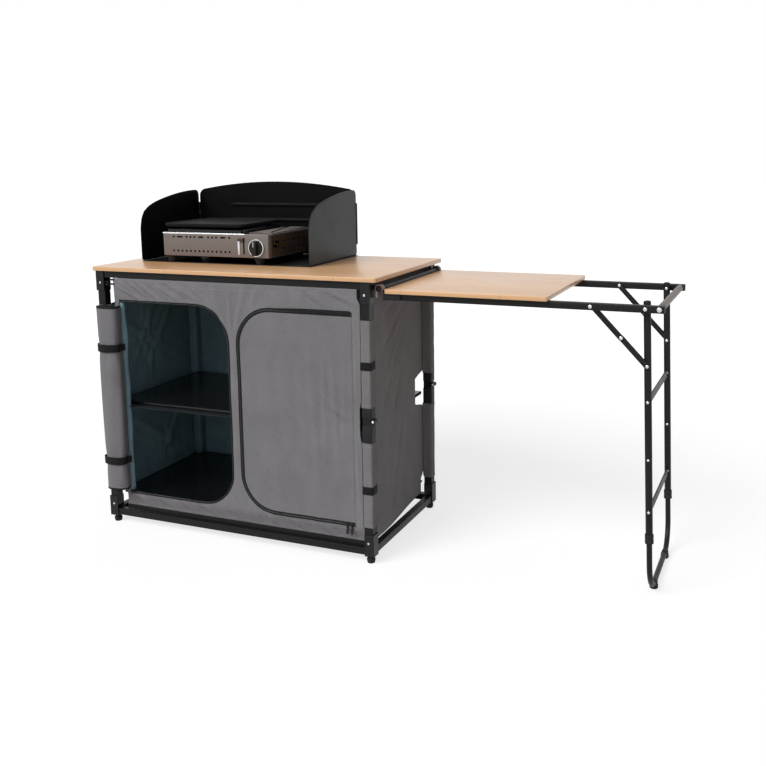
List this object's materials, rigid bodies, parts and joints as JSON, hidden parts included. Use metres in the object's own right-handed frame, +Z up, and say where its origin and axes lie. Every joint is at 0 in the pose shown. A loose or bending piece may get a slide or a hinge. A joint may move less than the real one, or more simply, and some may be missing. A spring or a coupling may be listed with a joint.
{
  "type": "folding camp kitchen",
  "caption": "Folding camp kitchen with a fabric cupboard, bamboo worktop, stove with windshield and a hooked-on side table on a folding leg.",
  "frame": {"origin": "middle of the whole part's footprint, at the floor under its feet", "axes": "+X runs right from the cupboard to the side table's leg, +Y runs back from the doors, +Z is up"},
  "size_m": [1.656, 0.5328, 1.0348],
  "materials": {
    "worktop": "clear-coated bamboo board",
    "top_frame": "black powder coating",
    "top_bracket_front_left": "black powder coating",
    "top_bracket_rear_left": "black powder coating",
    "top_bracket_front_right": "black powder coating",
    "top_bracket_rear_right": "black powder coating",
    "hook_tube": "black powder coating",
    "fabric_cupboard": "grey coated polyester cloth",
    "rolled_left_door": "grey coated polyester cloth",
    "upper_leg_front_left": "black powder coating",
    "upper_leg_rear_left": "black powder coating",
    "upper_sleeve_front_left": "grey coated polyester cloth",
    "upper_sleeve_rear_left": "grey coated polyester cloth",
    "upper_leg_front_right": "black powder coating",
    "upper_leg_rear_right": "black powder coating",
    "upper_sleeve_front_right": "grey coated polyester cloth",
    "upper_sleeve_rear_right": "grey coated polyester cloth",
    "lower_leg_front_left": "black powder coating",
    "lower_leg_rear_left": "black powder coating",
    "lower_sleeve_front_left": "grey coated polyester cloth",
    "lower_sleeve_rear_left": "grey coated polyester cloth",
    "lower_leg_front_right": "black powder coating",
    "lower_leg_rear_right": "black powder coating",
    "lower_sleeve_front_right": "grey coated polyester cloth",
    "lower_sleeve_rear_right": "grey coated polyester cloth",
    "bottom_frame": "black powder coating",
    "bottom_bracket_front_left": "black powder coating",
    "bottom_bracket_rear_left": "black powder coating",
    "bottom_bracket_front_right": "black powder coating",
    "bottom_bracket_rear_right": "black powder coating",
    "foot_front_left": "black rubber",
    "foot_rear_left": "black rubber",
    "foot_front_right": "black rubber",
    "foot_rear_right": "black rubber",
    "floor_board": "glossy black laminated board",
    "shelf_board": "glossy black laminated board",
    "right_door": "grey coated polyester cloth",
    "windshield_base": "black powder coating",
    "windshield_back": "black powder coating",
    "windshield_left_wing": "black powder coating",
    "windshield_right_wing": "black powder coating",
    "stove_body": "brown-grey metallic enamel",
    "hotplate": "cast plate with a black non-stick coating",
    "stove_knob": "black plastic",
    "cartridge_lid": "black powder coating",
    "cartridge_lever": "dark plastic",
    "side_rail_front": "black powder coating",
    "side_rail_rear": "black powder coating",
    "end_tube": "bronze-grey metallic coating",
    "side_board": "clear-coated bamboo board",
    "hook_front": "bronze-grey metallic coating",
    "hook_rear": "bronze-grey metallic coating",
    "side_leg_frame": "black powder coating",
    "leg_extension": "black powder coating",
    "leg_pad_front": "black rubber",
    "leg_pad_rear": "black rubber",
    "upper_brace_front": "black powder coating",
    "upper_brace_rear": "black powder coating",
    "lower_brace_front": "black powder coating",
    "lower_brace_rear": "black powder coating"
  },
  "bodies": {
    "top": {"worktop": "worktop", "top_frame": "top_frame", "top_bracket_front_left": "top_bracket_front_left", "top_bracket_rear_left": "top_bracket_rear_left", "top_bracket_front_right": "top_bracket_front_right", "top_bracket_rear_right": "top_bracket_rear_right", "hook_tube": "hook_tube", "fabric_cupboard": "fabric_cupboard", "rolled_left_door": "rolled_left_door"},
    "upper_legs_left": {"upper_leg_front_left": "upper_leg_front_left", "upper_leg_rear_left": "upper_leg_rear_left", "upper_sleeve_front_left": "upper_sleeve_front_left", "upper_sleeve_rear_left": "upper_sleeve_rear_left"},
    "upper_legs_right": {"upper_leg_front_right": "upper_leg_front_right", "upper_leg_rear_right": "upper_leg_rear_right", "upper_sleeve_front_right": "upper_sleeve_front_right", "upper_sleeve_rear_right": "upper_sleeve_rear_right"},
    "lower_legs_left": {"lower_leg_front_left": "lower_leg_front_left", "lower_leg_rear_left": "lower_leg_rear_left", "lower_sleeve_front_left": "lower_sleeve_front_left", "lower_sleeve_rear_left": "lower_sleeve_rear_left"},
    "lower_legs_right": {"lower_leg_front_right": "lower_leg_front_right", "lower_leg_rear_right": "lower_leg_rear_right", "lower_sleeve_front_right": "lower_sleeve_front_right", "lower_sleeve_rear_right": "lower_sleeve_rear_right"},
    "bottom": {"bottom_frame": "bottom_frame", "bottom_bracket_front_left": "bottom_bracket_front_left", "bottom_bracket_rear_left": "bottom_bracket_rear_left", "bottom_bracket_front_right": "bottom_bracket_front_right", "bottom_bracket_rear_right": "bottom_bracket_rear_right", "foot_front_left": "foot_front_left", "foot_rear_left": "foot_rear_left", "foot_front_right": "foot_front_right", "foot_rear_right": "foot_rear_right", "floor_board": "floor_board"},
    "shelf": {"shelf_board": "shelf_board"},
    "right_door": {"right_door": "right_door"},
    "windshield": {"windshield_base": "windshield_base", "windshield_back": "windshield_back"},
    "left_wing": {"windshield_left_wing": "windshield_left_wing"},
    "right_wing": {"windshield_right_wing": "windshield_right_wing"},
    "stove": {"stove_body": "stove_body"},
    "hotplate": {"hotplate": "hotplate"},
    "knob": {"stove_knob": "stove_knob"},
    "cartridge_lid": {"cartridge_lid": "cartridge_lid"},
    "cartridge_lever": {"cartridge_lever": "cartridge_lever"},
    "side_table": {"side_rail_front": "side_rail_front", "side_rail_rear": "side_rail_rear", "end_tube": "end_tube", "side_board": "side_board", "hook_front": "hook_front", "hook_rear": "hook_rear"},
    "side_leg": {"side_leg_frame": "side_leg_frame"},
    "leg_extension": {"leg_extension": "leg_extension", "leg_pad_front": "leg_pad_front", "leg_pad_rear": "leg_pad_rear"},
    "upper_braces": {"upper_brace_front": "upper_brace_front", "upper_brace_rear": "upper_brace_rear"},
    "lower_braces": {"lower_brace_front": "lower_brace_front", "lower_brace_rear": "lower_brace_rear"}
  },
  "joints": [
    {"name": "frame_fold", "type": "hinge", "parent": "top", "child": "upper_legs_left", "pos_m": [-0.8035, 0.0164, 0.7522], "axis": [0, -1, 0], "range_deg": [0, 88], "deforming": ["fabric_cupboard", "right_door", "rolled_left_door"]},
    {"name": "left_knee", "type": "hinge", "parent": "upper_legs_left", "child": "lower_legs_left", "pos_m": [-0.8195, 0.0164, 0.40615], "axis": [0, -1, 0], "range_deg": [-176.1, 0]},
    {"name": "base_fold", "type": "hinge", "parent": "lower_legs_left", "child": "bottom", "pos_m": [-0.8035, 0.0164, 0.0601], "axis": [0, -1, 0], "range_deg": [0, 88.1]},
    {"name": "right_top_fold", "type": "hinge", "parent": "top", "child": "upper_legs_right", "pos_m": [0.0645, 0.0164, 0.7522], "axis": [0, 1, 0], "range_deg": [0, 88.1]},
    {"name": "right_knee", "type": "hinge", "parent": "upper_legs_right", "child": "lower_legs_right", "pos_m": [0.0805, 0.0164, 0.40615], "axis": [0, 1, 0], "range_deg": [-176.1, 0]},
    {"name": "shelf_lift", "type": "slide", "parent": "top", "child": "shelf", "axis": [0, 0, 1], "range_m": [0, 0.3665]},
    {"name": "right_door_swing", "type": "hinge", "parent": "top", "child": "right_door", "pos_m": [0.025, -0.2236, 0.403], "axis": [0, 0, 1], "range_deg": [0, 140]},
    {"name": "windshield_lift", "type": "slide", "parent": "top", "child": "windshield", "axis": [0, 0, 1], "range_m": [0, 0.1]},
    {"name": "left_wing_fold", "type": "hinge", "parent": "windshield", "child": "left_wing", "pos_m": [-0.769, 0.2594, 0.9023], "axis": [0, 0, -1], "range_deg": [0, 90]},
    {"name": "right_wing_fold", "type": "hinge", "parent": "windshield", "child": "right_wing", "pos_m": [-0.182, 0.2594, 0.9023], "axis": [0, 0, 1], "range_deg": [0, 90]},
    {"name": "stove_lift", "type": "slide", "parent": "windshield", "child": "stove", "axis": [0, 0, 1], "range_m": [0, 0.15]},
    {"name": "hotplate_lift", "type": "slide", "parent": "stove", "child": "hotplate", "axis": [0, 0, 1], "range_m": [0, 0.1]},
    {"name": "knob_turn", "type": "hinge", "parent": "stove", "child": "knob", "pos_m": [-0.3505, -0.0739, 0.8521], "axis": [0, -1, 0], "range_deg": [-150, 0]},
    {"name": "cartridge_lid_swing", "type": "hinge", "parent": "stove", "child": "cartridge_lid", "pos_m": [-0.39, 0.0689, 0.8924], "axis": [0, -1, 0], "range_deg": [0, 85]},
    {"name": "cartridge_lever_slide", "type": "slide", "parent": "stove", "child": "cartridge_lever", "axis": [0, 0, -1], "range_m": [0, 0.038]},
    {"name": "side_table_tilt", "type": "hinge", "parent": "top", "child": "side_table", "pos_m": [0.097, 0.0164, 0.768], "axis": [0, -1, 0], "range_deg": [0, 25]},
    {"name": "leg_fold", "type": "hinge", "parent": "side_table", "child": "side_leg", "pos_m": [0.784, 0.0164, 0.7467], "axis": [0, 1, 0], "range_deg": [0, 89]},
    {"name": "leg_extension_slide", "type": "slide", "parent": "side_leg", "child": "leg_extension", "axis": [-0.0384, 0, 0.9993], "range_m": [0, 0.0585]},
    {"name": "upper_brace_fold", "type": "hinge", "parent": "side_table", "child": "upper_braces", "pos_m": [0.653, 0.0164, 0.7467], "axis": [0, 1, 0], "range_deg": [0, 129.8]},
    {"name": "lower_brace_fold", "type": "hinge", "parent": "side_leg", "child": "lower_braces", "pos_m": [0.78954, 0.0164, 0.60241], "axis": [0, 1, 0], "range_deg": [-135.1, 0]}
  ],
  "couplings": [
    {"joint": "left_knee", "follows": "frame_fold", "ratio": -2},
    {"joint": "base_fold", "follows": "frame_fold", "ratio": 1},
    {"joint": "right_top_fold", "follows": "frame_fold", "ratio": 1},
    {"joint": "right_knee", "follows": "frame_fold", "ratio": -2},
    {"joint": "shelf_lift", "follows": "frame_fold", "m_per_rad": 0.2383},
    {"joint": "upper_brace_fold", "follows": "leg_fold", "ratio": 1.456},
    {"joint": "lower_brace_fold", "follows": "leg_fold", "ratio": -1.516},
    {"joint": "leg_extension_slide", "follows": "leg_fold", "m_per_rad": 0.03734}
  ]
}
